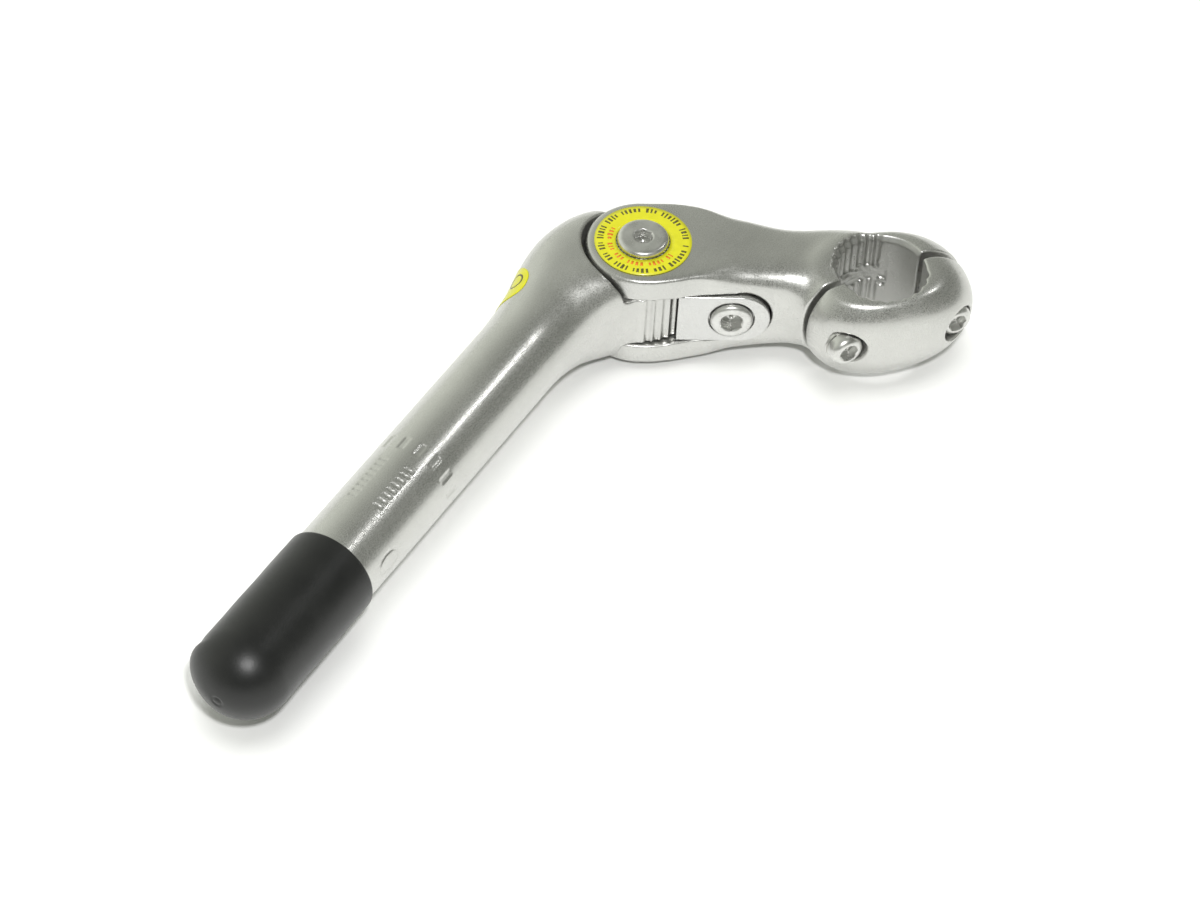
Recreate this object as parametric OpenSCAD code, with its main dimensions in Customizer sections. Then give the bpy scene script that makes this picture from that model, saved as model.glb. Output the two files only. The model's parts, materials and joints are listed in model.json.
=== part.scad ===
// Adjustable quill stem: a post for the steerer tube, an arm that tilts on
// it, and a two-bolt clamp for the handlebar. Millimetres.
// X points forward, Y up the quill, Z out of the side with the pivot bolt's
// head. The origin is on the quill's axis at the insertion mark.

/* [Quill] */

// Quill diameter (1 1/8 inch steerer: 25.4)
quill_d = 25.4; // [24:0.1:30.6]
// Bore for the expander bolt
quill_bore_d = 9.4; // [9:0.1:11]
// Length of quill from the rubber cap's rim up to the insertion mark
cap_rim_drop = 40.6; // [30:0.2:48]
// Insertion mark to pivot axis, along the quill
pivot_y = 99.8; // [97:0.2:120]
// Pivot axis in front of the quill's axis
pivot_x = 13.9; // [13.4:0.1:14.6]

/* [Knuckle and cheeks] */

// Radius over the knuckle's teeth
knuckle_r = 16; // [13.3:0.1:19.2]
// Width of the slot between the cheeks
slot_w = 18.4; // [17.6:0.2:19.2]
// Width over the cheeks
cheek_w = 34; // [33:0.5:36]
// Radial step from the knuckle's teeth out to the cheeks' round ends
cheek_step = 0.7; // [0.4:0.1:1]
// Pivot bolt diameter
pivot_bolt_d = 8; // [7:0.1:9.6]

/* [Arm and clamp] */

// Rise of the arm's underside above the forward direction
arm_angle = 32; // [23:1:41]
// Pivot axis to bar axis, along the underside's direction
reach = 68.6; // [66:0.2:84]
// Handlebar diameter
bar_d = 25.4; // [22.2:0.1:31]
// Width of the bar clamp
clamp_w = 28.6; // [26:0.2:30]
// Slope of the split plane against the underside's direction
split_angle = 25; // [20:1:28]
// From the handlebar's surface to a clamp bolt's axis
bolt_offset = 4.5; // [4.3:0.1:5.5]

/* [Rubber cap] */

// Wall of the rubber cap
cap_wall = 1; // [0.8:0.1:2]
// Rim to the tip of the dome
cap_len = 54.5; // [52:0.5:62]

/* [Hidden] */

$fn = 96;

// Fits
run_gap = 0.05;      // shaft in a bore, on the radius
part_gap = 0.3;      // round faces that pass each other

// Quill and head
quill_r = quill_d/2;
cheek_r = knuckle_r + cheek_step;
head_y0 = pivot_y - 50;   // where the round post starts to flare
head_steps = 22;
head_sides = 48;
knuckle_w = slot_w - 1.1; // the two shims and their play fill the rest
recess_r = cheek_r + 1; // hollow in the head round the cheeks
well_r = 6.2;             // well for the expander bolt's head
well_y = pivot_y - 27;    // its floor
slant = 0.83;             // drop of the slanted end per unit of width
sticker_h = [14.3, 28.6]; // sticker's lower and upper edge, above head_y0
sticker_r = [13.9, 17.1]; // radius of the skin there
sticker_x = 0.72;         // centre of its lower edge
sticker_lean = -6.5;      // lean of its axis
sticker_turn = 57;        // reach to each side of the rear edge, in degrees
sticker_t = 0.25;
slant_y = -cap_rim_drop - 15.5; // slanted end at the quill's axis

// Teeth: one every 9 degrees, cut as open V grooves
tooth_step = 9;
groove_d = 0.72;
groove_h = 1.05;          // half width at the knuckle's radius
tooth_in_arm = [-46.5, -37.5];  // the block's two teeth, in the arm's frame
groove_first = arm_angle + tooth_in_arm[0] - 4*tooth_step;
groove_count = 11;

// Pivot hardware, from the symmetry plane outward
cheek_z = cheek_w/2;
slot_z = slot_w/2;
bush_r = 6;
shim_t = 0.5;
seat_z = cheek_z - 0.9;   // floor of the shallow counterbores
seat_r = 7.75;
pivot_head_r = 7.5;
washer_t = 0.8;
pivot_r = pivot_bolt_d/2;
barrel_r = pivot_r + 1.6;  // barrel of the sleeve nut
bolt_top_z = cheek_z + 2;
label_t = 0.15;
label_r = 14;

// Lock block
block_w = 17.5;
block_face = 1.6 - knuckle_r; // its outer face, at rest
block_t = 9;
block_travel = 2;         // from rest to fully in mesh
block_end = 28.25;        // centre of its round end
lock_a = 25.9;            // the bolt's place along the arm
lock_r = 4;
lock_head_r = 6.2;
lock_head_h = 3.2;
lock_recess_r = 6.6;
lock_recess = 2.6;
block_edge = sqrt(pow(knuckle_r + 0.1, 2) - pow(block_face + block_travel, 2));
pocket_floor = block_face + block_t + block_travel + 0.5;

// Clamp
bar_r = bar_d/2;
clamp_bolt_gap = bar_d + 2*bolt_offset;
bar_b = -6.6;             // bar axis below the line through the pivot
jaw_front = clamp_bolt_gap/2 + 10.4;  // clamp in front of the bar, along the split
jaw_rear = clamp_bolt_gap/2 + 7;      // and behind it
jaw_v = bar_r + 6.2;                  // half depth across the split
jaw_lean = 0.0075;                    // the cap is deeper at the front
jaw_zr = 20;                     // roundness of its sides
jaw_crown = bar_r - 5.1;         // where its front starts to curve down
jaw_front_zr = 15.4;             // and half width to which it curves
split_gap = 1.6;
clamp_r = 3;
clamp_head_r = 5;
clamp_head_h = 4.4;
clamp_recess_r = 5.5;
clamp_seat = 10.4;        // mean floor of the recesses from the split plane
seat_rise = 1;            // the front one is higher by this, the rear one lower
clamp_thread = 12;        // depth of the threads in the rear jaw

// Rubber cap
cap_r = quill_r + cap_wall;
cap_seat_r = quill_r - 0.2;  // quill's end is turned down under the cap
cap_in_r = cap_seat_r + 0.02;
dome_y = -cap_rim_drop - cap_len + cap_r;
wedge_r = quill_r - 0.4;
wedge_end = dome_y + 1.2;

metal = [0.72, 0.72, 0.69];
steel = [0.6, 0.6, 0.6];
dark = [0.13, 0.13, 0.14];
yellow = [0.93, 0.92, 0.1];

// ---- curves and lofted skins ----

// Smooth curve through the points [x, value] in k, evaluated at t.
function seg(t, k, i = 0) = i >= len(k) - 2 || t < k[i + 1][0] ? i : seg(t, k, i + 1);
function slope(k, i) =
    i <= 0 || i >= len(k) - 1 ? 0 :
    (k[i + 1][1] - k[i - 1][1])/(k[i + 1][0] - k[i - 1][0]);
function curve(t, k) =
    let (i = seg(t, k), w = k[i + 1][0] - k[i][0],
         s = max(0, min(1, (t - k[i][0])/w)))
    k[i][1]*(1 + 2*s)*pow(1 - s, 2) + slope(k, i)*w*s*pow(1 - s, 2)
    + k[i + 1][1]*s*s*(3 - 2*s) + slope(k, i + 1)*w*s*s*(s - 1);

// Point of a rounded rectangle: half sizes p and q, squareness n.
function rr(p, q, n, t) =
    [p*sign(cos(t))*pow(abs(cos(t)), 2/n), q*sign(sin(t))*pow(abs(sin(t)), 2/n)];

// Closed skin through rings that have the same number of points.
module skin(rings) {
    n = len(rings[0]);
    m = len(rings);
    polyhedron(
        points = [for (r = rings) each r],
        faces = [
            [for (j = [n - 1:-1:0]) j],
            [for (j = [0:n - 1]) (m - 1)*n + j],
            for (i = [0:m - 2]) for (j = [0:n - 1]) let (k = (j + 1)%n)
                each [[i*n + j, i*n + k, (i + 1)*n + k],
                      [i*n + j, (i + 1)*n + k, (i + 1)*n + j]]
        ]);
}

// ---- shape of the head, by height above its start ----

head_rear = [[0, -quill_r - 0.1], [10, -13], [20, -13.6], [30, -15], [38, -15.3],
             [46, -14.4], [54, -11.9], [60, -8.6], [63, -6.4]];
head_front = [[0, quill_r + 0.1], [10, 13], [20, 14.2], [26, 15.9], [31, 18.4],
              [36, 21.6], [41, 23.4], [46, 22.5], [54, 14], [59, 5], [63, -3]];
head_half = [[0, quill_r + 0.1], [10, 13], [20, 14.6], [26, 16.2], [31, 17.2],
             [40, 17.6], [50, 16.4], [57, 13.6], [63, 8]];
head_square = [[0, 2], [20, 2.1], [35, 2.5], [63, 2.4]];
head_top = 63;

function head_ring(h) =
    let (xr = curve(h, head_rear), xf = curve(h, head_front),
         zh = curve(h, head_half), n = curve(h, head_square))
    [for (j = [0:head_sides - 1])
        let (p = rr((xf - xr)/2, zh, n, 360*j/head_sides))
        [(xf + xr)/2 + p[0], head_y0 + h, p[1]]];
function head_h(i) = head_top*i/head_steps;

// ---- frames ----

// Arm frame: x along the underside, y up across the arm, at the pivot.
module in_arm() { translate([pivot_x, pivot_y, 0]) rotate([0, 0, arm_angle]) children(); }
// Clamp frame: x along the split plane, y away from the arm, at the bar.
module in_clamp() {
    in_arm() translate([reach, bar_b, 0]) rotate([0, 0, split_angle])
        mirror([0, 1, 0]) children();
}
// Axis along y instead of z, starting at y = 0.
module up_y() { rotate([-90, 0, 0]) children(); }
module disc(r, z0, z1) { translate([0, 0, z0]) cylinder(r = r, h = z1 - z0); }
module hex_hole(af, z0, z1) {
    translate([0, 0, z0]) cylinder(r = af/sqrt(3), h = z1 - z0, $fn = 6);
}
module ring(r_out, r_in, z0, z1) {
    difference() {
        disc(r_out, z0, z1);
        disc(r_in, z0 - 1, z1 + 1);
    }
}

// ---- quill ----

module groove() {
    linear_extrude(height = slot_w + 2, center = true)
        polygon([[knuckle_r - groove_d, -0.1],
                 [knuckle_r + 0.5, -groove_h*1.7],
                 [knuckle_r + 0.5, groove_h*1.7],
                 [knuckle_r - groove_d, 0.1]]);
}

// Everything below (side < 0) or above the slanted plane.
module beyond_slant(side) {
    translate([0, slant_y, 0]) linear_extrude(height = 60, center = true)
        polygon([[-30, 30*slant], [30, -30*slant],
                 [30, -30*slant + side], [-30, 30*slant + side]]);
}

module quill_body() {
    color(metal) difference() {
        union() {
            difference() {
                skin([for (i = [0:head_steps]) head_ring(head_h(i))]);
                for (s = [0, 1]) mirror([0, 0, s]) translate([pivot_x, pivot_y, 0])
                    disc(recess_r, knuckle_w/2, 25);
            }
            translate([0, slant_y - 14, 0]) up_y()
                cylinder(r = cap_seat_r, h = head_y0 - slant_y + 21);
            translate([0, -cap_rim_drop, 0]) up_y()
                cylinder(r = quill_r, h = head_y0 + cap_rim_drop + 7);
            translate([pivot_x, pivot_y, 0]) disc(knuckle_r, -knuckle_w/2, knuckle_w/2);
        }
        for (k = [0:groove_count - 1]) translate([pivot_x, pivot_y, 0])
            rotate([0, 0, groove_first + k*tooth_step]) groove();
        translate([pivot_x, pivot_y, 0]) disc(bush_r, -20, 20);
        translate([0, slant_y - 30, 0]) up_y()
            cylinder(r = quill_bore_d/2, h = well_y - slant_y + 31);
        translate([0, well_y, 0]) up_y() cylinder(r = well_r, h = 60);
        beyond_slant(-60);
    }
}

// Sticker round the head's rear edge: a strip of a leaning cone, proud of
// the skin by its thickness and rooted in it so that the two stay one piece.
module edge_sticker() {
    color(yellow) translate([sticker_x, head_y0 + sticker_h[0], 0]) rotate([0, 0, sticker_lean])
        up_y() rotate([0, 0, 180 - sticker_turn]) rotate_extrude(angle = 2*sticker_turn)
            polygon([[sticker_r[0] - 0.8, 0], [sticker_r[0] + sticker_t, 0],
                     [sticker_r[1] + sticker_t, sticker_h[1] - sticker_h[0]],
                     [sticker_r[1] - 0.8, sticker_h[1] - sticker_h[0]]]);
}

module pivot_bush() {
    color([0.75, 0.6, 0.3]) translate([pivot_x, pivot_y, 0])
        ring(bush_r, pivot_r + run_gap, -knuckle_w/2, knuckle_w/2);
}

module expander_washer() {
    color(steel) translate([0, well_y, 0]) up_y() ring(well_r - 0.1, 4.2, 0, 1.2);
}

module expander_bolt() {
    color(steel) difference() {
        union() {
            translate([0, wedge_end + 3, 0]) up_y()
                cylinder(r = 4, h = well_y - wedge_end - 1);
            translate([0, well_y + 1.2, 0]) up_y() cylinder(r = well_r - part_gap, h = 8);
        }
        translate([0, well_y, 0]) up_y() hex_hole(6, 5, 12);
    }
}

module expander_wedge() {
    color(metal) difference() {
        translate([0, wedge_end, 0]) up_y() union() {
            cylinder(r1 = wedge_r - 2.2, r2 = wedge_r, h = 2.5);
            disc(wedge_r, 2.5, slant_y - wedge_end + 14);
        }
        beyond_slant(60);
        translate([0, wedge_end - 1, 0]) up_y() cylinder(r = 4 + run_gap, h = 60);
    }
}

module end_cap() {
    color(dark) difference() {
        union() {
            translate([0, dome_y, 0]) sphere(r = cap_r);
            translate([0, dome_y, 0]) up_y() cylinder(r = cap_r, h = -cap_rim_drop - dome_y - 1.4);
            translate([0, -cap_rim_drop - 7, 0]) up_y() cylinder(r1 = cap_r, r2 = cap_r + 0.4, h = 5.6);
            translate([0, -cap_rim_drop - 1.4, 0]) up_y() cylinder(r = cap_r + 0.4, h = 0.8);
            translate([0, -cap_rim_drop - 0.6, 0]) up_y()
                cylinder(r1 = cap_r + 0.4, r2 = cap_r - 0.3, h = 0.6);
        }
        translate([0, dome_y, 0]) sphere(r = cap_in_r);
        translate([0, dome_y, 0]) up_y() cylinder(r = cap_in_r, h = 80);
    }
}

// ---- arm ----

arm_top = [[2, cheek_r], [9, 16.6], [15, 15.9], [24, 14.7], [32, 13.7], [40, 12.5],
           [46, 12.5], [56, 13.4], [62, 13.2], [70, 11.2]];
arm_low = [[2, -cheek_r], [9, -15.7], [15, -14.3], [24, -13.5], [32, -13.1],
           [40, -13.2], [46, -13.4], [54, -11], [70, -2]];
arm_half = [[2, 17.3], [15, 17.3], [24, 16.5], [32, 15.8], [40, 15.3],
            [46, 15.2], [56, 15], [62, 13.6], [70, 9]];
arm_square = [[2, 14], [13, 14], [24, 6], [32, 4.4], [40, 3.6], [46, 3.3], [70, 2.6]];
arm_sides = 44;
round_steps = 8;
// Stations along the arm: round end first, then even steps to the jaw.
arm_at = concat([for (k = [0:round_steps]) -cheek_r*cos(5 + k*92/round_steps)],
                [for (a = [5:3.8:69]) a]);

function arm_ring(a) =
    let (c = sqrt(max(0, cheek_r*cheek_r - a*a)),
         t = a < 2 ? c : curve(a, arm_top), l = a < 2 ? -c : curve(a, arm_low),
         w = curve(max(a, 2), arm_half), n = curve(max(a, 2), arm_square),
         s = a > 46 ? (reach - 68.6)*(a - 46)/24 : 0)
    [for (j = [0:arm_sides - 1])
        let (p = rr((t - l)/2, w, n, -360*(j + 0.5)/arm_sides))
        [a + s, (t + l)/2 + p[0], p[1]]];

// Ball-shaped clamp, in the clamp frame.
clamp_steps = 14;
clamp_sides = 56;
function clamp_ring(z) =
    let (k = pow(1 - pow(abs(z)/jaw_zr, 2.2), 1/2.2),
         front = jaw_crown + (jaw_front - jaw_crown)*sqrt(1 - pow(z/jaw_front_zr, 2)))
    [for (j = [0:clamp_sides - 1])
        let (t = -360*j/clamp_sides,
             p = rr(cos(t) > 0 ? front : jaw_rear*k, jaw_v*k, 2.3, t))
        [p[0], p[1]*(p[1] > 0 ? 1 + jaw_lean*p[0] : 1), z]];
module clamp_ball() {
    skin([for (i = [0:clamp_steps]) clamp_ring(clamp_w*(i/clamp_steps - 0.5))]);
}
module bar_bore() {
    disc(bar_r, -30, 30);
    for (s = [0, 1]) mirror([0, 0, s]) translate([0, 0, clamp_w/2 - 0.8])
        cylinder(r1 = bar_r, r2 = bar_r + 1, h = 1);
}

// Outline of the lock block seen from under the arm, in x and z.
module block_outline(grow) {
    circle(r = block_w/2 + grow);
    translate([-40, -block_w/2 - grow]) square([40, block_w + 2*grow]);
}
// Things that lie flat under the arm: plan x stays x, plan y becomes z.
module under(y0, y1) {
    translate([0, y1, 0]) rotate([90, 0, 0]) linear_extrude(height = y1 - y0) children();
}

module arm() {
    color(metal) difference() {
        union() {
            in_arm() intersection() {
                skin([for (a = arm_at) arm_ring(a)]);
                translate([-30, -30, -cheek_z]) cube([120, 60, cheek_w]);
            }
            in_clamp() clamp_ball();
        }
        // cap's side of the split
        in_clamp() translate([-40, -split_gap/2, -30]) cube([80, 60, 60]);
        in_clamp() bar_bore();
        // slot between the cheeks, round the knuckle
        in_arm() disc(knuckle_r + 1, -slot_z, slot_z);
        in_arm() translate([-30, -30, -slot_z]) cube([30 + 6, 60, slot_w]);
        // pocket for the lock block, open to the slot
        in_arm() under(-30, pocket_floor) translate([block_end, 0]) block_outline(0.45);
        in_arm() translate([lock_a, pocket_floor - 1, 0]) up_y() cylinder(r = lock_r + run_gap, h = 12);
        // pivot
        in_arm() disc(pivot_r + 0.1, 0, 30);
        in_arm() disc(barrel_r + run_gap, -30, 0);
        for (s = [0, 1]) mirror([0, 0, s]) in_arm() disc(seat_r, seat_z, 30);
        // threads for the clamp bolts
        for (s = [-1, 1]) in_clamp() translate([s*clamp_bolt_gap/2, -clamp_thread, 0])
            up_y() cylinder(r = clamp_r + run_gap, h = 30);
    }
}

module shim() { translate([pivot_x, pivot_y, 0]) ring(13.5, bush_r + 0.3, slot_z - shim_t, slot_z); }
module shim_right() { color(steel) shim(); }
module shim_left() { color(steel) mirror([0, 0, 1]) shim(); }

// Socket screw along z: shank below 0, rounded head above it.
module screw(shank_r, len, head_r, head_h, af) {
    color(steel) difference() {
        union() {
            disc(shank_r, -len, 0.1);
            disc(head_r, 0, head_h*0.45);
            translate([0, 0, head_h*0.45])
                cylinder(r1 = head_r, r2 = head_r*0.9, h = head_h*0.3);
            translate([0, 0, head_h*0.75])
                cylinder(r1 = head_r*0.9, r2 = head_r*0.72, h = head_h*0.25);
        }
        hex_hole(af, head_h*0.2, head_h + 1);
    }
}

module pivot_bolt() {
    in_arm() translate([0, 0, seat_z + washer_t])
        screw(pivot_r, cheek_z + slot_z, pivot_head_r, bolt_top_z - seat_z - washer_t, 5);
}

// Washer with a serrated edge.
module toothed_washer() {
    difference() {
        ring(seat_r - 0.05, pivot_r + 0.1, seat_z, seat_z + washer_t);
        for (k = [0:35]) rotate([0, 0, 10*k]) translate([seat_r, 0, 0])
            disc(0.35, seat_z - 1, seat_z + 2);
    }
}
module pivot_lock_washer() { color(steel) in_arm() toothed_washer(); }

module pivot_nut_washer() {
    color(steel) in_arm() mirror([0, 0, 1])
        ring(seat_r - 0.05, barrel_r + 0.1, seat_z, seat_z + washer_t);
}

module pivot_nut() {
    color(steel) in_arm() mirror([0, 0, 1]) difference() {
        union() {
            disc(barrel_r, slot_z + 0.2, seat_z + washer_t + 1);
            disc(pivot_head_r, seat_z + washer_t, bolt_top_z - 0.6);
            translate([0, 0, bolt_top_z - 0.6]) cylinder(r1 = pivot_head_r, r2 = pivot_head_r - 0.8, h = 0.6);
        }
        disc(pivot_r + 0.02, 0, bolt_top_z - 1.8);
        hex_hole(6, bolt_top_z - 1.9, bolt_top_z + 1);
    }
}

module ring_label() {
    color(yellow) in_arm() ring(label_r, seat_r + 0.1, cheek_z, cheek_z + label_t);
}

module lock_block() {
    color(metal) in_arm() difference() {
        union() {
            difference() {
                under(block_face, block_face + block_t)
                    translate([block_end, 0]) block_outline(0);
                translate([0, -block_travel, 0]) disc(knuckle_r + 0.1, -30, 30);
                translate([-30, -30, -30]) cube([30 + block_edge, 60, 60]);
            }
            for (t = tooth_in_arm) translate([0, -block_travel, 0]) rotate([0, 0, t])
                linear_extrude(height = block_w, center = true)
                    polygon([[knuckle_r - 0.58, -0.03], [knuckle_r + 0.4, -1.32],
                             [knuckle_r + 0.4, 1.32], [knuckle_r - 0.58, 0.03]]);
        }
        translate([lock_a, block_face - 1, 0]) up_y() cylinder(r = lock_r + 0.2, h = 20);
        translate([lock_a, block_face - 1, 0]) up_y()
            cylinder(r = lock_recess_r, h = lock_recess + 1);
    }
}

// Seat of the lock bolt, with z pointing out of the block.
module at_lock() {
    in_arm() translate([lock_a, block_face + lock_recess, 0]) rotate([90, 0, 0]) children();
}
module lock_washer() { color(steel) at_lock() ring(lock_recess_r - 0.1, lock_r + 0.2, 0, washer_t); }
module lock_bolt() {
    at_lock() translate([0, 0, washer_t]) screw(lock_r, 16.5, lock_head_r, lock_head_h, 6);
}

// ---- handlebar clamp ----

// Seat of a clamp bolt, with z pointing out of the cap; side 1 is the front.
module at_clamp(side) {
    in_clamp() translate([side*clamp_bolt_gap/2, clamp_seat + side*seat_rise, 0]) up_y() children();
}

module clamp_cap() {
    color(metal) difference() {
        in_clamp() intersection() {
            clamp_ball();
            translate([-40, split_gap/2, -30]) cube([80, 60, 60]);
        }
        in_clamp() bar_bore();
        for (s = [-1, 1]) at_clamp(s) {
            disc(clamp_r + 0.3, -30, 30);
            disc(clamp_recess_r, 0, 30);
        }
    }
}
module clamp_washer(side) {
    color(steel) at_clamp(side) ring(clamp_recess_r - 0.2, clamp_r + 0.2, 0, washer_t);
}
module clamp_bolt(side) {
    at_clamp(side) translate([0, 0, washer_t])
        screw(clamp_r, clamp_seat + clamp_thread - 2, clamp_head_r, clamp_head_h, 5);
}
module clamp_washer_upper() { clamp_washer(1); }
module clamp_washer_lower() { clamp_washer(-1); }
module clamp_bolt_upper() { clamp_bolt(1); }
module clamp_bolt_lower() { clamp_bolt(-1); }

quill_body();
edge_sticker();
pivot_bush();
expander_bolt();
expander_washer();
expander_wedge();
end_cap();
arm();
shim_right();
shim_left();
pivot_bolt();
pivot_lock_washer();
pivot_nut();
pivot_nut_washer();
ring_label();
lock_block();
lock_bolt();
lock_washer();
clamp_cap();
clamp_bolt_upper();
clamp_bolt_lower();
clamp_washer_upper();
clamp_washer_lower();
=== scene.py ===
"""Adjustable quill stem lying on its side: the looks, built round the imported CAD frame.

Shapes are signed distances in the CAD's millimetres, negative inside, that one mesher turns into
smooth skins. Places and axes come from the frame's joints, mounts and boxes.
"""
import json
import math

import bmesh
import bpy
import numpy as np
from mathutils import Euler, Matrix, Vector


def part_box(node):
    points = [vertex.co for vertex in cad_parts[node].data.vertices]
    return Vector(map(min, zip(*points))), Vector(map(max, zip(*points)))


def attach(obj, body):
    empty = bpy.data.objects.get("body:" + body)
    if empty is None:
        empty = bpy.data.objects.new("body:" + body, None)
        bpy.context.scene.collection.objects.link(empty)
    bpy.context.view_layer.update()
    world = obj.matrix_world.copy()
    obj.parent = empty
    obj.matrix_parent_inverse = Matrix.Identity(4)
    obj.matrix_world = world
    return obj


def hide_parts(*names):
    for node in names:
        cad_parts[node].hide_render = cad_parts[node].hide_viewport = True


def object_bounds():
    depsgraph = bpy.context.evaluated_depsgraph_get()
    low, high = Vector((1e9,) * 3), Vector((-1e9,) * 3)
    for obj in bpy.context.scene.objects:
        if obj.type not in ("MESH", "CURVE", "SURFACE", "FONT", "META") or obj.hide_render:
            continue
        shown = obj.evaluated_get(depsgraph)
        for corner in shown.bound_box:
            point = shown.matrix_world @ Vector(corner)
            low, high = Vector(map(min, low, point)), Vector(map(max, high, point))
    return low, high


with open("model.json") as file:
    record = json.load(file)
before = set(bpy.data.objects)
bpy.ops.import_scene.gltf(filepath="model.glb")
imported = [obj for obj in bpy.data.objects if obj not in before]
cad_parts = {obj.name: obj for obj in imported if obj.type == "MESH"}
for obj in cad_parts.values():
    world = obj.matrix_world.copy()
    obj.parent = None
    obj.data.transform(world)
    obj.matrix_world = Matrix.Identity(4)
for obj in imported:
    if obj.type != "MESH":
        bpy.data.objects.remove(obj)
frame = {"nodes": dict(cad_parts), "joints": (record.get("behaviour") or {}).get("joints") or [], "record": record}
cad_low, cad_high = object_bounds()

MM = 0.001


# ---------------------------------------------------------------- the frame's places and axes


def joint(name):
    return next(j for j in frame["joints"] if j["name"] == name)


def mount(name):
    return next(m for m in frame["record"]["mounts"] if m["name"] == name)


def box_mm(node):
    low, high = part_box(node)
    return np.array(low) / MM, np.array(high) / MM


def placed(origin, x_axis, y_axis, z_axis):
    """Matrix from a local frame in millimetres to the model's metres."""
    m = Matrix.Identity(4)
    for k, axis in enumerate((x_axis, y_axis, z_axis)):
        for row in range(3):
            m[row][k] = axis[row] * MM
    for row in range(3):
        m[row][3] = origin[row] * MM
    return m


PIVOT = np.array(joint("arm_tilt")["pos_m"]) / MM
ARM_UP = np.array(joint("lock_slide")["axis"], float)       # across the arm, towards its top
ARM_OUT = np.array([ARM_UP[1], -ARM_UP[0], 0.0])            # along the arm's underside
BAR = np.array(mount("handlebar_clamp")["pos_m"]) / MM
CAP_OUT = np.array(joint("clamp_cap_slide")["axis"], float)  # the way the clamp cap comes off
SPLIT_OUT = np.array([-CAP_OUT[1], CAP_OUT[0], 0.0])         # along the split, forward
UP = np.array([0.0, 0.0, 1.0])

MODEL_FRAME = placed((0, 0, 0), (1, 0, 0), (0, 1, 0), (0, 0, 1))
ARM_FRAME = placed(PIVOT, ARM_OUT, ARM_UP, UP)
CLAMP_FRAME = placed(BAR, SPLIT_OUT, CAP_OUT, -UP)

# ---------------------------------------------------------------- sizes, as in the CAD

QUILL_R = mount("quill")["dims"]["r_mm"]
BAR_R = mount("handlebar_clamp")["dims"]["r_mm"]
KNUCKLE_R = 16.0
KNUCKLE_HALF = box_mm("pivot_bush")[1][2]
CHEEK_R = KNUCKLE_R + 0.7
RECESS_R = CHEEK_R + 1.0
CHEEK_Z = box_mm("ring_label")[0][2]
SLOT_HALF = box_mm("shim_right")[1][2]
BUSH_R = 6.0
WELL_R = 6.2
QUILL_BORE_R = 4.7
WELL_Y = box_mm("expander_washer")[0][1]
CAP_LOW, CAP_HIGH = box_mm("end_cap")
CAP_RIM_Y = CAP_HIGH[1]
CAP_R = QUILL_R + 1.0
DOME_Y = CAP_LOW[1] + CAP_R
SLANT = 0.83
SLANT_Y = CAP_RIM_Y - 15.5
HEAD_Y = PIVOT[1] - 50.0
HEAD_TOP = 63.0
SEAT_Z = CHEEK_Z - 0.9
SEAT_R = 7.75
PIVOT_BOLT_R = 4.0
BARREL_R = 5.6
PIVOT_HEAD_R = 7.5
BOLT_TOP_Z = CHEEK_Z + 2.0
WASHER_T = 0.8
LABEL_R = 14.0
LABEL_T = 0.15

BLOCK_HALF = 8.75
BLOCK_FACE = -14.4
BLOCK_T = 9.0
BLOCK_TRAVEL = 2.0
BLOCK_END = 28.25
LOCK_A = 25.9
LOCK_R = 4.0
LOCK_HEAD_R = 6.2
LOCK_HEAD_H = 3.2
LOCK_RECESS_R = 6.6
LOCK_RECESS = 2.6
POCKET_FLOOR = BLOCK_FACE + BLOCK_T + BLOCK_TRAVEL + 0.5
TOOTH_STEP = math.radians(9)
TOOTH_ANGLES = (math.radians(-46.5), math.radians(-37.5))
GROOVE_COUNT = 11
GROOVE_D = 0.72
GROOVE_HALF = 1.2

BAR_AT = (float((BAR - PIVOT) @ ARM_OUT), float((BAR - PIVOT) @ ARM_UP))
BOLT_GAP = 34.4
JAW_FRONT = BOLT_GAP / 2 + 10.4
JAW_REAR = BOLT_GAP / 2 + 7.0
JAW_V = BAR_R + 6.2
JAW_LEAN = 0.0075
JAW_ZR = 20.0
JAW_CROWN = BAR_R - 5.1
JAW_FRONT_ZR = 15.4
CLAMP_HALF = 14.3
SPLIT_HALF = 0.8
CLAMP_BOLT_R = 3.0
CLAMP_HEAD_R = 5.0
CLAMP_HEAD_H = 4.4
CLAMP_RECESS_R = 5.5
CLAMP_SEAT = {1: 11.4, -1: 9.4}
CLAMP_THREAD = 12.0

# Half outlines: distance along the part, then the size there
HEAD_REAR = ((0, -QUILL_R), (10, -13), (20, -13.6), (30, -15), (38, -15.3), (46, -14.4),
             (54, -11.9), (60, -8.6), (63, -6.4))
HEAD_FRONT = ((0, QUILL_R), (10, 13), (20, 14.2), (26, 15.9), (31, 18.4), (36, 21.6),
              (41, 23.4), (46, 22.5), (54, 14), (59, 5), (63, -3))
HEAD_HALF = ((0, QUILL_R), (10, 13), (20, 14.6), (26, 16.2), (31, 17.2), (40, 17.6),
             (50, 16.4), (57, 13.6), (63, 8))
HEAD_SQUARE = ((0, 2), (10, 2), (20, 2.3), (35, 3.1), (48, 3.1), (63, 2.5))
ARM_TOP = ((2, CHEEK_R), (9, 16.6), (15, 15.9), (24, 14.7), (32, 13.7), (40, 12.5),
           (46, 12.5), (56, 13.4), (62, 13.2), (70, 11.2))
ARM_LOW = ((2, -CHEEK_R), (9, -15.7), (15, -14.3), (24, -13.5), (32, -13.1), (40, -13.2),
           (46, -13.4), (54, -11), (70, -2))
ARM_HALF = ((2, 17.3), (15, 17.3), (24, 16.5), (32, 15.8), (40, 15.3), (46, 15.2),
            (56, 15), (62, 13.6), (70, 9))
ARM_SQUARE = ((2, 14), (13, 14), (24, 6), (32, 4.4), (40, 3.6), (46, 3.3), (70, 2.6))


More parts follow.
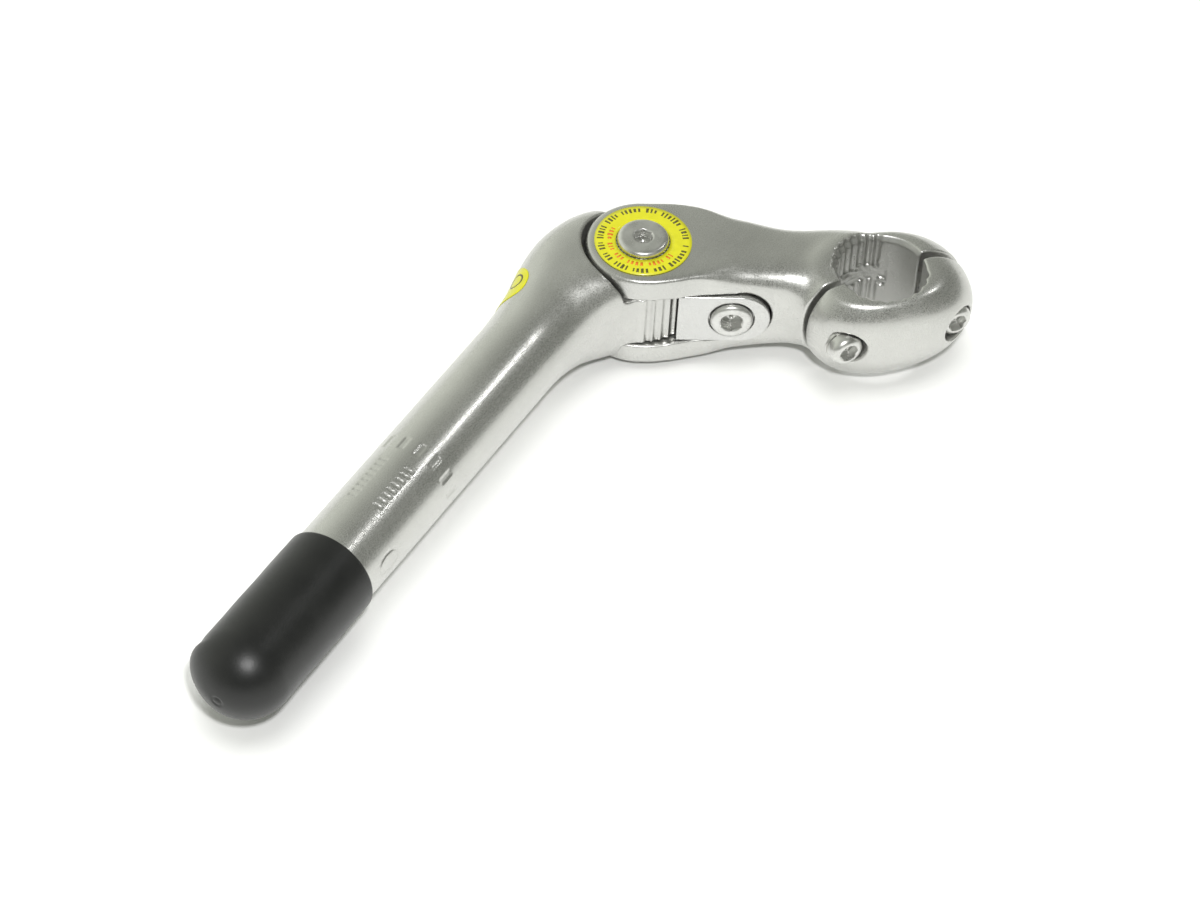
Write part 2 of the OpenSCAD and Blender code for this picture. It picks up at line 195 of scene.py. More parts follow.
# ---------------------------------------------------------------- distances


def curve(t, points):
    """Smooth curve through the points, held at its ends, as in the CAD."""
    x, v = np.array(points, np.float32).T
    slope = np.zeros_like(v)
    slope[1:-1] = (v[2:] - v[:-2]) / (x[2:] - x[:-2])
    i = np.clip(np.searchsorted(x, t, side="right") - 1, 0, len(x) - 2)
    w = x[i + 1] - x[i]
    s = np.clip((t - x[i]) / w, 0, 1)
    return (v[i] * (1 + 2 * s) * (1 - s) ** 2 + slope[i] * w * s * (1 - s) ** 2
            + v[i + 1] * s * s * (3 - 2 * s) + slope[i + 1] * w * s * s * (s - 1))


def joined(a, b, fillet):
    """Both shapes, with a fillet where they meet."""
    h = np.clip(0.5 + 0.5 * (b - a) / fillet, 0, 1)
    return b * (1 - h) + a * h - fillet * h * (1 - h)


def shared(a, b, edge):
    """What both shapes hold, with a rounded edge."""
    return -joined(-a, -b, edge)


def cut(a, b, edge):
    """The first shape without the second, with a rounded edge."""
    return -joined(-a, b, edge)


def oval(u, v, p, q, n):
    """Near its outline, the distance to a rounded rectangle of half sizes p and q and squareness n."""
    u = np.abs(u) / p + 1e-5
    v = np.abs(v) / q + 1e-5
    un, vn = u ** (n - 1), v ** (n - 1)
    r = (un * u + vn * v) ** (1 / n)
    return (r - 1) * r ** (n - 1) / np.sqrt((un / p) ** 2 + (vn / q) ** 2)


def round_bar(u, v, r):
    return np.sqrt(u * u + v * v) - r


def slab(t, low, high):
    return np.maximum(low - t, t - high)


def hexagon(u, v, across_flats):
    """Distance to a hexagon's sides."""
    sides = [np.abs(u * math.cos(k * math.pi / 3) + v * math.sin(k * math.pi / 3)) for k in range(3)]
    return np.maximum(np.maximum(sides[0], sides[1]), sides[2]) - across_flats / 2


def ripple(t, step, low, high):
    """0 to 1 between cusps that lie a step apart, and 0 outside low to high."""
    inside = (t > low) & (t < high)
    return np.where(inside, np.abs(np.sin((t - low) * math.pi / step)), 0)


def lumps(x, y, z, size, seed):
    """Soft seeded unevenness between about -1 and 1, with features of that size."""
    rng = np.random.default_rng(seed)
    total = 0
    for _ in range(5):
        k = rng.normal(size=3)
        k *= rng.uniform(0.7, 1.4) * 2 * math.pi / size / np.linalg.norm(k)
        total = total + np.sin(x * k[0] + y * k[1] + z * k[2] + rng.uniform(0, 2 * math.pi))
    return total / 3


# ---------------------------------------------------------------- the mesher


def span(low, high, step):
    return np.linspace(low, high, max(2, int(round((high - low) / step)) + 1), dtype=np.float32)


def surface_net(field, axes):
    """Vertices and quads of the surface where the field, sampled on the axes, is zero."""
    inside = field < 0
    cells = np.array(field.shape) - 1
    crossings, owners, quads = [], [], []
    for a in range(3):
        b, c = (a + 1) % 3, (a + 2) % 3
        first = tuple(slice(0, -1) if k == a else slice(1, -1) for k in range(3))
        second = tuple(slice(1, None) if k == a else slice(1, -1) for k in range(3))
        hit = inside[first] != inside[second]
        at = np.argwhere(hit)
        at[:, b] += 1
        at[:, c] += 1
        f0, f1 = field[first][hit], field[second][hit]
        point = np.stack([axes[k][at[:, k]] for k in range(3)], 1).astype(np.float64)
        step = axes[a][at[:, a] + 1] - axes[a][at[:, a]]
        point[:, a] += step * (f0 / (f0 - f1))
        ring = []
        for db, dc in ((1, 1), (0, 1), (0, 0), (1, 0)):
            cell = at.copy()
            cell[:, b] -= db
            cell[:, c] -= dc
            ring.append(np.ravel_multi_index(cell.T, cells))
        ring = np.stack(ring, 1)
        outward = inside[first][hit]
        quads.append(np.where(outward[:, None], ring, ring[:, ::-1]))
        owners.append(ring.ravel())
        crossings.append(np.repeat(point, 4, axis=0))
    quads, owners, crossings = map(np.concatenate, (quads, owners, crossings))
    used, index = np.unique(owners, return_inverse=True)
    count = np.bincount(index)
    verts = np.stack([np.bincount(index, crossings[:, k]) / count for k in range(3)], 1)
    return verts, np.searchsorted(used, quads)


def slopes(shape, v, eps=0.03):
    """The shape's value at each vertex, and its gradient."""
    x, y, z = v.T
    g = [shape(x + eps, y, z) - shape(x - eps, y, z),
         shape(x, y + eps, z) - shape(x, y - eps, z),
         shape(x, y, z + eps) - shape(x, y, z - eps)]
    return shape(x, y, z), np.stack(g, 1) / (2 * eps)


def settled(shape, v, step):
    """The vertices moved onto the surface, each by half a cell at most."""
    for _ in range(3):
        f, g = slopes(shape, v)
        move = -(f / np.maximum((g * g).sum(1), 0.05))[:, None] * g
        far = np.linalg.norm(move, axis=1, keepdims=True)
        v = v + move * np.minimum(1, step / 2 / np.maximum(far, 1e-9))
    return v


def new_object(name, verts, faces, place=MODEL_FRAME):
    """Smooth mesh from vertices in a local frame in millimetres."""
    m = np.array(place)
    world = verts @ m[:3, :3].T + m[:3, 3]
    if np.linalg.det(m[:3, :3]) < 0:
        faces = [f[::-1] for f in faces]
    mesh = bpy.data.meshes.new(name)
    mesh.from_pydata(world.tolist(), [], [list(f) for f in faces])
    mesh.shade_smooth()
    obj = bpy.data.objects.new(name, mesh)
    bpy.context.scene.collection.objects.link(obj)
    return obj


def skin(name, shape, axes, place=MODEL_FRAME, bare=None):
    """Mesh of a shape. bare is the shape before its cuts: the vertex value "cut" says how deep
    below it each vertex lies, in millimetres, up to 1."""
    step = float(max(np.diff(a).min() for a in axes))
    field = shape(axes[0][:, None, None], axes[1][None, :, None], axes[2][None, None, :])
    verts, quads = surface_net(np.ascontiguousarray(field, np.float32), axes)
    verts = settled(shape, verts, step)
    obj = new_object(name, verts, quads, place)
    if bare is not None:
        depth = np.clip(-bare(*verts.T), 0, 1).astype(np.float32)
        obj.data.attributes.new("cut", "FLOAT", "POINT").data.foreach_set("value", depth)
    return obj


# ---------------------------------------------------------------- quill


def quill_bare(x, y, z):
    """The forging before any machining."""
    h = np.clip(y - HEAD_Y, 0, HEAD_TOP)
    rear, front = curve(h, HEAD_REAR), curve(h, HEAD_FRONT)
    side = oval(x - (rear + front) / 2, z, (front - rear) / 2, curve(h, HEAD_HALF), curve(h, HEAD_SQUARE))
    return shared(side, y - HEAD_Y - HEAD_TOP, 3.0)


def knuckle(x, y, z):
    """Disc with the teeth that the lock block meshes with."""
    u, v = x - PIVOT[0], y - PIVOT[1]
    first = math.atan2(ARM_OUT[1], ARM_OUT[0]) + TOOTH_ANGLES[0] - 4 * TOOTH_STEP
    angle = (np.arctan2(v, u) - first) / TOOTH_STEP
    near = np.abs(angle - np.clip(np.round(angle), 0, GROOVE_COUNT - 1)) * TOOTH_STEP * KNUCKLE_R
    depth = GROOVE_D * np.clip(1 - (near / GROOVE_HALF) ** 2, 0, 1)
    return shared(round_bar(u, v, KNUCKLE_R) + depth, np.abs(z) - KNUCKLE_HALF, 0.5)


def stamped_marks(x, y, z):
    """Depth of the marks in the post: a ring of small bars, a scale of ticks and an oval."""
    turn = np.degrees(np.arctan2(z, x))
    ring = np.abs((turn - 55.5 + 12) % 24 - 12) * QUILL_R * math.pi / 180
    bars = np.maximum(ring - 0.85, np.abs(y) - 2.3)
    along = np.abs((y + 22) % 2.2 - 1.1)
    scale_a = np.maximum(along - 0.4, np.maximum(np.abs(turn - 112) - 6, slab(y, -24, -6)))
    scale_b = np.maximum(along - 0.4, np.maximum(np.abs(turn - 73) - 6, slab(y, -24, -6)))
    arc = (turn - 10.4) * QUILL_R * math.pi / 180
    oval_ring = np.abs(np.sqrt((arc / 2.7) ** 2 + ((y + 31) / 4.6) ** 2) - 1) * 3.2 - 0.3
    nearest = np.minimum(np.minimum(bars, oval_ring), np.minimum(scale_a, scale_b))
    return 0.28 * np.clip(0.5 - nearest / 0.4, 0, 1)


def quill_shape(x, y, z):
    from_pivot = np.sqrt((x - PIVOT[0]) ** 2 + (y - PIVOT[1]) ** 2)
    body = quill_bare(x, y, z)
    body = body + np.where(y < 4, stamped_marks(x, y, z), 0)
    body = cut(body, shared(from_pivot - RECESS_R, KNUCKLE_HALF - np.abs(z), 0.6), 0.7)
    body = joined(body, knuckle(x, y, z), 0.6)
    body = cut(body, from_pivot - BUSH_R, 0.5)
    from_axis = np.sqrt(x * x + z * z)
    body = cut(body, np.maximum(from_axis - WELL_R, WELL_Y - y), 0.7)
    body = cut(body, from_axis - QUILL_BORE_R, 0.7)
    below_slant = (SLANT_Y - SLANT * x - y) / math.hypot(1, SLANT)
    return shared(body, below_slant, 0.8)


def make_quill():
    fine = 0.42
    low, high = box_mm("quill_body")
    y = np.concatenate([span(low[1] - 1, -38, 1.0)[:-1], span(-38, 4, fine * 0.9)[:-1],
                        span(4, high[1] + 1.5, fine * 1.1)])
    axes = (span(low[0] - 2, high[0] + 1.5, fine), y, span(low[2] - 1.5, high[2] + 1.5, fine))
    obj = skin("quill_forging", quill_shape, axes, bare=quill_bare)
    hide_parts("quill_body")
    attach(obj, "quill")
    return obj


# ---------------------------------------------------------------- rubber cap


def cap_shape(x, y, z):
    """Dip-moulded cap: a fold stands proud of the rear where the dome starts, and the tip has a
    small ring where it hung while it set."""
    from_axis = np.sqrt(x * x + z * z)
    below = np.minimum(y - DOME_Y, 0)
    fold = 1.3 * np.exp(-((y - DOME_Y + 6) / 5) ** 2) / (1 + np.exp((y - DOME_Y + 3.6) / 0.35))
    rear = np.clip(-x / np.maximum(from_axis, 1), 0, 1) ** 5
    tip = 0.3 * np.exp(-((from_axis - 1.3) / 0.4) ** 2) * (y < DOME_Y - 8)
    radius = np.sqrt(from_axis ** 2 + below ** 2)
    body = cut(radius - CAP_R - fold * rear + tip, radius - QUILL_R - 0.05, 0.3)
    return shared(body, y - CAP_RIM_Y, 0.7) + 0.03 * lumps(x, y, z, 14, 3)


def make_cap():
    step = 0.42
    low, high = CAP_LOW - 1.5, CAP_HIGH + 1.5
    obj = skin("rubber_cap", cap_shape, tuple(span(low[k], high[k], step) for k in range(3)))
    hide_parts("end_cap")
    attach(obj, "end_cap")
    return obj


# ---------------------------------------------------------------- arm and clamp


def to_clamp(a, b):
    """From the arm's frame to the clamp's: along the split, and away from the arm."""
    da, db = a - BAR_AT[0], b - BAR_AT[1]
    split = (float(SPLIT_OUT @ ARM_OUT), float(SPLIT_OUT @ ARM_UP))
    out = (float(CAP_OUT @ ARM_OUT), float(CAP_OUT @ ARM_UP))
    return da * split[0] + db * split[1], da * out[0] + db * out[1]


def clamp_ball(p, q, z):
    height = np.minimum(np.abs(z) / JAW_ZR, 0.98)
    front = np.sqrt(1 - np.minimum(np.abs(z) / JAW_FRONT_ZR, 0.97) ** 2)
    front = (JAW_CROWN + (JAW_FRONT - JAW_CROWN) * front) / (1 - height ** 2.2) ** (1 / 2.2)
    length = np.where(p > 0, front, JAW_REAR)
    lean = np.where(q > 0, 1 + JAW_LEAN * p, 1)
    flat = (np.abs(p / length) + 1e-5) ** 2.3 + (np.abs(q / lean / JAW_V) + 1e-5) ** 2.3
    whole = (flat ** (2.2 / 2.3) + (np.abs(z) / JAW_ZR) ** 2.2) ** (1 / 2.2)
    return shared((whole - 1) * JAW_V, np.abs(z) - CLAMP_HALF, 1.4)


def arm_bare(a, b, z):
    """The forging before any machining: cheeks, arm and ball-shaped clamp."""
    t = np.clip(a, 2, 70)
    top, low = curve(t, ARM_TOP), curve(t, ARM_LOW)
    across = np.where(a < 0, np.sqrt(a * a + b * b), b - (top + low) / 2)
    body = oval(across, z, (top - low) / 2, curve(t, ARM_HALF), curve(t, ARM_SQUARE))
    body = shared(body, np.abs(z) - CHEEK_Z, 1.0)
    body = shared(body, a - 68, 4.0)
    return joined(body, clamp_ball(*to_clamp(a, b), z), 5.0)


def bar_bore(p, q, z, ribs, chamfer):
    """The handlebar's bore, with steep chamfers that deep and ribs along part of its wall."""
    return np.sqrt(p * p + q * q) - BAR_R - np.clip(np.abs(z) - CLAMP_HALF + chamfer, 0, 2) * 0.55 - ribs


def jaw_ribs(p, q, z):
    """Ribs in the arm's side of the bore, crushed flat along a ragged stretch across them."""
    turn = np.degrees(np.arctan2(q, p))
    ribs = 0.75 * ripple(turn, 11.0, -160, -61)
    ragged = z + 0.6 + 1.3 * lumps(p, q, z, 3.4, 8)
    crushed = np.clip((3.4 - np.abs(ragged)) / 0.7, 0, 1)
    crushed = crushed * np.clip((turn + 150) / 4, 0, 1) * np.clip((-50 - turn) / 4, 0, 1)
    flat = 0.45 - 0.16 * ragged + 0.12 * lumps(p, q, z, 1.8, 6)
    return ribs * (1 - crushed) + flat * crushed


def lock_pocket(a, b, z):
    """Pocket under the arm, open to the slot, with a looser upper corner."""
    end = round_bar(a - BLOCK_END - 0.15, z - 0.12, BLOCK_HALF + 0.4)
    run = np.maximum(slab(z, -BLOCK_HALF - 0.4, BLOCK_HALF + 0.4), slab(a, -12, BLOCK_END))
    return np.maximum(np.minimum(end, run), b - POCKET_FLOOR)


def front_opening(p):
    """0 behind the bar to 1 at the front, where the clamp stands wider open."""
    return np.clip(p / 14, 0, 1)


def arm_shape(a, b, z):
    p, q = to_clamp(a, b)
    from_pivot = np.sqrt(a * a + b * b)
    body = arm_bare(a, b, z)
    body = cut(body, -SPLIT_HALF - 0.5 * front_opening(p) - q, 0.5)
    body = cut(body, bar_bore(p, q, z, jaw_ribs(p, q, z), 1.9), 0.5)
    slot = np.maximum(np.minimum(from_pivot - KNUCKLE_R - 1, a - 6), np.abs(z) - SLOT_HALF)
    body = cut(body, slot, 0.9)
    body = cut(body, lock_pocket(a, b, z), 0.6)
    body = cut(body, np.maximum(round_bar(a - LOCK_A, z, LOCK_R + 0.05), b - POCKET_FLOOR - 11), 0.4)
    bolt_way = np.where(z > 0, from_pivot - PIVOT_BOLT_R - 0.1, from_pivot - BARREL_R - 0.05)
    body = cut(body, bolt_way, 0.4)
    body = cut(body, np.maximum(from_pivot - SEAT_R, SEAT_Z - np.abs(z)), 0.4)
    for side in (1, -1):
        thread = round_bar(p - side * BOLT_GAP / 2, z, CLAMP_BOLT_R + 0.05)
        body = cut(body, np.maximum(thread, -CLAMP_THREAD - q), 0.4)
    pit = np.sqrt((a - 57.5) ** 2 + (b - 6.2) ** 2 + (z - 13.6) ** 2) - 0.9
    return cut(body, pit, 0.4)


def make_arm():
    step = 0.42
    axes = (span(-18.5, 97, step), span(-29.5, 19, step), span(-18.5, 18.5, step))
    obj = skin("arm_forging", arm_shape, axes, ARM_FRAME, arm_bare)
    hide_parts("arm")
    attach(obj, "arm")
    return obj


def clamp_cap_bare(p, q, z):
    return shared(clamp_ball(p, q, z), SPLIT_HALF + 0.3 * front_opening(p) - q, 0.9)


def clamp_cap_shape(p, q, z):
    turn = np.degrees(np.arctan2(q, p))
    body = clamp_cap_bare(p, q, z)
    body = cut(body, bar_bore(p, q, z, 0.6 * ripple(turn, 16.0, 26, 154), 0.5), 0.5)
    for side in (1, -1):
        r = round_bar(p - side * BOLT_GAP / 2, z, 0)
        body = cut(body, r - CLAMP_BOLT_R - 0.3, 0.3)
        body = cut(body, np.maximum(r - CLAMP_RECESS_R, CLAMP_SEAT[side] - q), 0.6)
    return body


def make_clamp_cap():
    step = 0.36
    axes = (span(-26, 30, step), span(-0.5, 24, step), span(-16, 16, step))
    obj = skin("clamp_cap_forging", clamp_cap_shape, axes, CLAMP_FRAME, clamp_cap_bare)
    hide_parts("clamp_cap")
    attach(obj, "clamp_cap")
    return obj


# ---------------------------------------------------------------- lock block


def block_bare(a, b, z):
    end = round_bar(np.maximum(a - BLOCK_END, 0), z, BLOCK_HALF)
    return shared(end, slab(b, BLOCK_FACE, BLOCK_FACE + BLOCK_T), 0.5)


def block_shape(a, b, z):
    """Plate with a round end, and two teeth on the end that faces the knuckle."""
    lowered = b + BLOCK_TRAVEL
    angle = np.arctan2(lowered, a)
    near = np.minimum(np.abs(angle - TOOTH_ANGLES[0]), np.abs(angle - TOOTH_ANGLES[1])) * KNUCKLE_R
    teeth = 0.6 * np.clip(1 - near / GROOVE_HALF, 0, 1)
    body = cut(block_bare(a, b, z), np.sqrt(a * a + lowered ** 2) - KNUCKLE_R - 0.1 + teeth, 0.3)
    body = np.maximum(body, 9.9 - a)
    from_bolt = round_bar(a - LOCK_A, z, 0)
    body = cut(body, from_bolt - LOCK_R - 0.2, 0.3)
    return cut(body, np.maximum(from_bolt - LOCK_RECESS_R, b - BLOCK_FACE - LOCK_RECESS), 0.4)


def make_block():
    step = 0.24
    axes = (span(8, 38, step), span(-15.5, -4.5, step), span(-9.7, 9.7, step))
    obj = skin("lock_block_plate", block_shape, axes, ARM_FRAME, block_bare)
    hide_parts("lock_block")
    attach(obj, "lock_block")
    return obj


# ---------------------------------------------------------------- screws


def screw_shape(shank_r, length, head_r, head_h, across_flats, pitch, crown):
    """Button-head screw along z, seated at 0: crown is how much of the head's edge is rounded."""

    def shape(x, y, z):
        r = np.sqrt(x * x + y * y)
        turn = np.arctan2(y, x) / (2 * math.pi)
        tooth = np.abs((z / pitch - turn) % 1 - 0.5) * 2
        thread = np.where(z < -length * 0.35, 0.3 * pitch * tooth, 0)
        shank = shared(r - shank_r + thread, slab(z, -length, 1), 0.4)
        head = shared(r - head_r, z - head_h, crown)
        head = shared(head, -z, 0.3)
        body = joined(shank, head, 0.3)
        socket = np.maximum(hexagon(x, y, across_flats), head_h - across_flats * 0.42 - 0.2 * r - z)
        lead_in = r - across_flats * 0.5 - (z - head_h + 0.5)
        return cut(body, np.minimum(socket, lead_in), 0.25)

    return shape


def make_screw(name, node, body, place, sizes):
    """A screw that replaces a CAD node. sizes are those of screw_shape."""
    shank_r, length, head_r, head_h = sizes[:4]
    step = 0.17
    reach = head_r + 0.8
    axes = (span(-reach, reach, step), span(-reach, reach, step), span(-length - 0.8, head_h + 0.8, step))
    obj = skin(name, screw_shape(*sizes), axes, place)
    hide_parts(node)
    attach(obj, body)
    return obj


def make_screws():
    top = PIVOT + UP * (SEAT_Z + WASHER_T)
    head_h = BOLT_TOP_Z - SEAT_Z - WASHER_T
    yield make_screw("pivot_screw", "pivot_bolt", "arm", placed(top, ARM_OUT, ARM_UP, UP),
                     (PIVOT_BOLT_R, CHEEK_Z + SLOT_HALF, PIVOT_HEAD_R, head_h, 5, 1.25, 1.7))
    seat = PIVOT + ARM_OUT * LOCK_A + ARM_UP * (BLOCK_FACE + LOCK_RECESS - WASHER_T)
    yield make_screw("lock_screw", "lock_bolt", "lock_bolt", placed(seat, ARM_OUT, UP, -ARM_UP),
                     (LOCK_R, 16.5, LOCK_HEAD_R, LOCK_HEAD_H, 6, 1.25, 1.9))
    for side, name in ((1, "upper"), (-1, "lower")):
        seat = BAR + SPLIT_OUT * side * BOLT_GAP / 2 + CAP_OUT * (CLAMP_SEAT[side] + WASHER_T)
        length = CLAMP_SEAT[side] - side + CLAMP_THREAD - 2
        yield make_screw(f"clamp_screw_{name}", f"clamp_bolt_{name}", "clamp_cap",
                         placed(seat, UP, SPLIT_OUT, CAP_OUT),
                         (CLAMP_BOLT_R, length, CLAMP_HEAD_R, CLAMP_HEAD_H, 5, 1.0, 2.6))


def nut_shape(x, y, z):
    """Sleeve nut, z outward from the symmetry plane."""
    r = np.sqrt(x * x + y * y)
    head = shared(shared(r - PIVOT_HEAD_R, z - BOLT_TOP_Z, 1.6), SEAT_Z + WASHER_T - z, 0.3)
    barrel = shared(r - BARREL_R, slab(z, SLOT_HALF + 0.2, SEAT_Z + WASHER_T + 1), 0.3)
    body = joined(head, barrel, 0.3)
    body = cut(body, np.maximum(r - PIVOT_BOLT_R - 0.02, z - BOLT_TOP_Z + 1.8), 0.3)
    return cut(body, np.maximum(hexagon(x, y, 6), BOLT_TOP_Z - 1.9 - z), 0.25)


def make_nut():
    step = 0.25
    place = placed(PIVOT, ARM_OUT, ARM_UP, -UP)
    axes = (span(-8, 8, step), span(-8, 8, step), span(SLOT_HALF - 0.8, BOLT_TOP_Z + 0.8, step))
    obj = skin("pivot_sleeve_nut", nut_shape, axes, place)
    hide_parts("pivot_nut")
    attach(obj, "arm")
    return obj


# ---------------------------------------------------------------- label and sticker


def grid_sheet(name, point, nu, nv, thick, place, closed_u=False):
    """Thin closed sheet. point(u, v) gives a place and a normal for u and v from 0 to 1."""
    u = np.linspace(0, 1, nu, endpoint=not closed_u)
    v = np.linspace(0, 1, nv)
    uu, vv = np.meshgrid(u, v, indexing="ij")
    at, normal = point(uu.ravel(), vv.ravel())
    verts = np.concatenate([at + normal * thick, at])
    faces = []
    under = nu * nv

    def idx(i, j):
        return (i % nu) * nv + j

    last = nu if closed_u else nu - 1
    for i in range(last):
        for j in range(nv - 1):
            top = [idx(i, j), idx(i + 1, j), idx(i + 1, j + 1), idx(i, j + 1)]
            faces += [top, [k + under for k in top[::-1]]]
        for j, turn in ((0, 1), (nv - 1, -1)):
            wall = [idx(i, j), idx(i, j) + under, idx(i + 1, j) + under, idx(i + 1, j)]
            faces.append(wall[::turn])
    if not closed_u:
        for i, turn in ((0, -1), (nu - 1, 1)):
            for j in range(nv - 1):
                wall = [idx(i, j), idx(i, j) + under, idx(i, j + 1) + under, idx(i, j + 1)]
                faces.append(wall[::turn])
    return new_object(name, verts, faces, place)


def flat_patch(r0, r1, turn0, turn1, z):
    """Point function of a patch of a flat ring, for grid_sheet."""

    def point(u, v):
        turn = turn0 + (turn1 - turn0) * u
        r = r0 + (r1 - r0) * v
        at = np.stack([r * np.cos(turn), r * np.sin(turn), np.full_like(r, z)], 1)
        return at, np.tile([0.0, 0.0, 1.0], (len(r), 1))

    return point


def joined_object(name, parts):
    """One object from several of the same kind."""
    bm = bmesh.new()
    for part in parts:
        bm.from_mesh(part.data)
        bpy.data.objects.remove(part)
    mesh = bpy.data.meshes.new(name)
    bm.to_mesh(mesh)
    bm.free()
    obj = bpy.data.objects.new(name, mesh)
    bpy.context.scene.collection.objects.link(obj)
    return obj


def tick_ring(name, r0, r1, first, last, groups, seed, z):
    """Ring of printed ticks in groups, each tick a short bar of its own width and height."""
    rng = np.random.default_rng(seed)
    parts = []
    turn = math.radians(first)
    end = math.radians(last)
    mean = (r0 + r1) / 2
    while turn < end:
        for _ in range(int(rng.integers(*groups))):
            width = rng.uniform(0.4, 0.85) / mean
            tall = rng.uniform(0.65, 1.0)
            point = flat_patch(mean - (r1 - r0) / 2 * tall, mean + (r1 - r0) / 2 * tall, turn, turn + width, z)
            parts.append(grid_sheet("tick", point, 3, 2, 0.02, ARM_FRAME))
            turn += width + 0.6 / mean
            if turn > end:
                break
        turn += 1.1 / mean
    return joined_object(name, parts)


def make_label():
    """Yellow ring round the pivot bolt, with two rings of plain ticks."""
    ring = grid_sheet("ring_label_film", flat_patch(SEAT_R + 0.1, LABEL_R, 0, 2 * math.pi, CHEEK_Z),
                      180, 5, LABEL_T, ARM_FRAME, closed_u=True)
    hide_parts("ring_label")
    top = CHEEK_Z + LABEL_T
    outer = tick_ring("ring_label_ticks", 11.3, 13.3, 4, 352, (3, 7), 21, top)
    inner = tick_ring("ring_label_marks", 8.8, 10.5, 150, 322, (2, 5), 22, top)
    for obj in (ring, outer, inner):
        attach(obj, "arm")
    return ring, outer, inner


def on_head(turn, y, lift):
    """Place on the head's skin in that direction round the axis at that height, and its normal."""
    d = np.stack([np.cos(turn), np.zeros_like(turn), np.sin(turn)], 1)
    r = np.full_like(turn, QUILL_R)
    for _ in range(12):
        r = r - quill_bare(r * d[:, 0], y, r * d[:, 2])
    at = np.stack([r * d[:, 0], y, r * d[:, 2]], 1)
    _, g = slopes(quill_bare, at)
    normal = g / np.linalg.norm(g, axis=1, keepdims=True)
    return at + normal * lift, normal


def head_patch(centre, half, squareness, lift, hole=0.0):
    """Point function of an oval patch on the head, with a hole in it if hole is over 0."""

    def point(u, v):
        angle = u * 2 * math.pi
        c, s = np.cos(angle), np.sin(angle)
        round_r = 1 / (np.abs(c) ** squareness + np.abs(s) ** squareness) ** (1 / squareness)
        r = round_r * (hole + (1 - hole) * v)
        return on_head(centre[0] + half[0] * r * c, centre[1] + half[1] * r * s, lift)

    return point


def make_sticker():
    """Small sticker round the head's rear edge, with a plain ring printed on it."""
    y = HEAD_Y + 20.6
    film = grid_sheet("edge_sticker_film", head_patch((math.pi, y), (1.08, 7.0), 2.6, 0.02, 0.004),
                      96, 24, 0.13, MODEL_FRAME, closed_u=True)
    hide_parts("edge_sticker")
    mark = grid_sheet("edge_sticker_ring", head_patch((math.radians(137), y + 1), (0.2, 2.4), 2, 0.15, 0.8),
                      48, 3, 0.02, MODEL_FRAME, closed_u=True)
    for obj in (film, mark):
        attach(obj, "quill")
    return film, mark


# ---------------------------------------------------------------- materials


class Look:
    """A material with one Principled shader, and short calls for the nodes that feed it."""

    def __init__(self, name, **plain):
        self.material = bpy.data.materials.new(name)
        self.material.use_nodes = True
        self.tree = self.material.node_tree
        self.shader = self.tree.nodes["Principled BSDF"]
        for socket, value in plain.items():
            self.shader.inputs[socket.replace("_", " ")].default_value = value
        self.place = self.tree.nodes.new("ShaderNodeTexCoord").outputs["Object"]

    def link(self, a, b):
        self.tree.links.new(a, b)

    def noise(self, scale, detail=3.0, stretch=(1, 1, 1), turn=0.0, roughness=0.6):
        """Noise at that many features per metre, stretched along an axis."""
        mapping = self.tree.nodes.new("ShaderNodeMapping")
        mapping.inputs["Scale"].default_value = stretch
        mapping.inputs["Rotation"].default_value = (0, 0, turn)
        node = self.tree.nodes.new("ShaderNodeTexNoise")
        node.inputs["Scale"].default_value = scale
        node.inputs["Detail"].default_value = detail
        node.inputs["Roughness"].default_value = roughness
        self.link(self.place, mapping.inputs["Vector"])
        self.link(mapping.outputs["Vector"], node.inputs["Vector"])
        return node.outputs["Fac"]

    def cut(self):
        node = self.tree.nodes.new("ShaderNodeAttribute")
        node.attribute_name = "cut"
        return node.outputs["Fac"]

    def ramp(self, value, low, high, out_low, out_high):
        node = self.tree.nodes.new("ShaderNodeMapRange")
        for socket, number in (("From Min", low), ("From Max", high), ("To Min", out_low), ("To Max", out_high)):
            node.inputs[socket].default_value = number
        self.link(value, node.inputs["Value"])
        return node.outputs["Result"]

    def math(self, operation, a, b):
        node = self.tree.nodes.new("ShaderNodeMath")
        node.operation = operation
        for k, value in enumerate((a, b)):
            if isinstance(value, (int, float)):
                node.inputs[k].default_value = value
            else:
                self.link(value, node.inputs[k])
        return node.outputs["Value"]

    def colours(self, value, *stops):
        node = self.tree.nodes.new("ShaderNodeValToRGB")
        ramp = node.color_ramp
        while len(ramp.elements) < len(stops):
            ramp.elements.new(0.5)
        for element, (position, colour) in zip(ramp.elements, stops):
            element.position = position
            element.color = (*colour, 1)
        self.link(value, node.inputs["Fac"])
        return node.outputs["Color"]

    def bump(self, height, strength, distance):
        node = self.tree.nodes.new("ShaderNodeBump")
        node.inputs["Strength"].default_value = strength
        node.inputs["Distance"].default_value = distance
        self.link(height, node.inputs["Height"])
        self.link(node.outputs["Normal"], self.shader.inputs["Normal"])

    def set(self, socket, value):
        self.link(value, self.shader.inputs[socket])


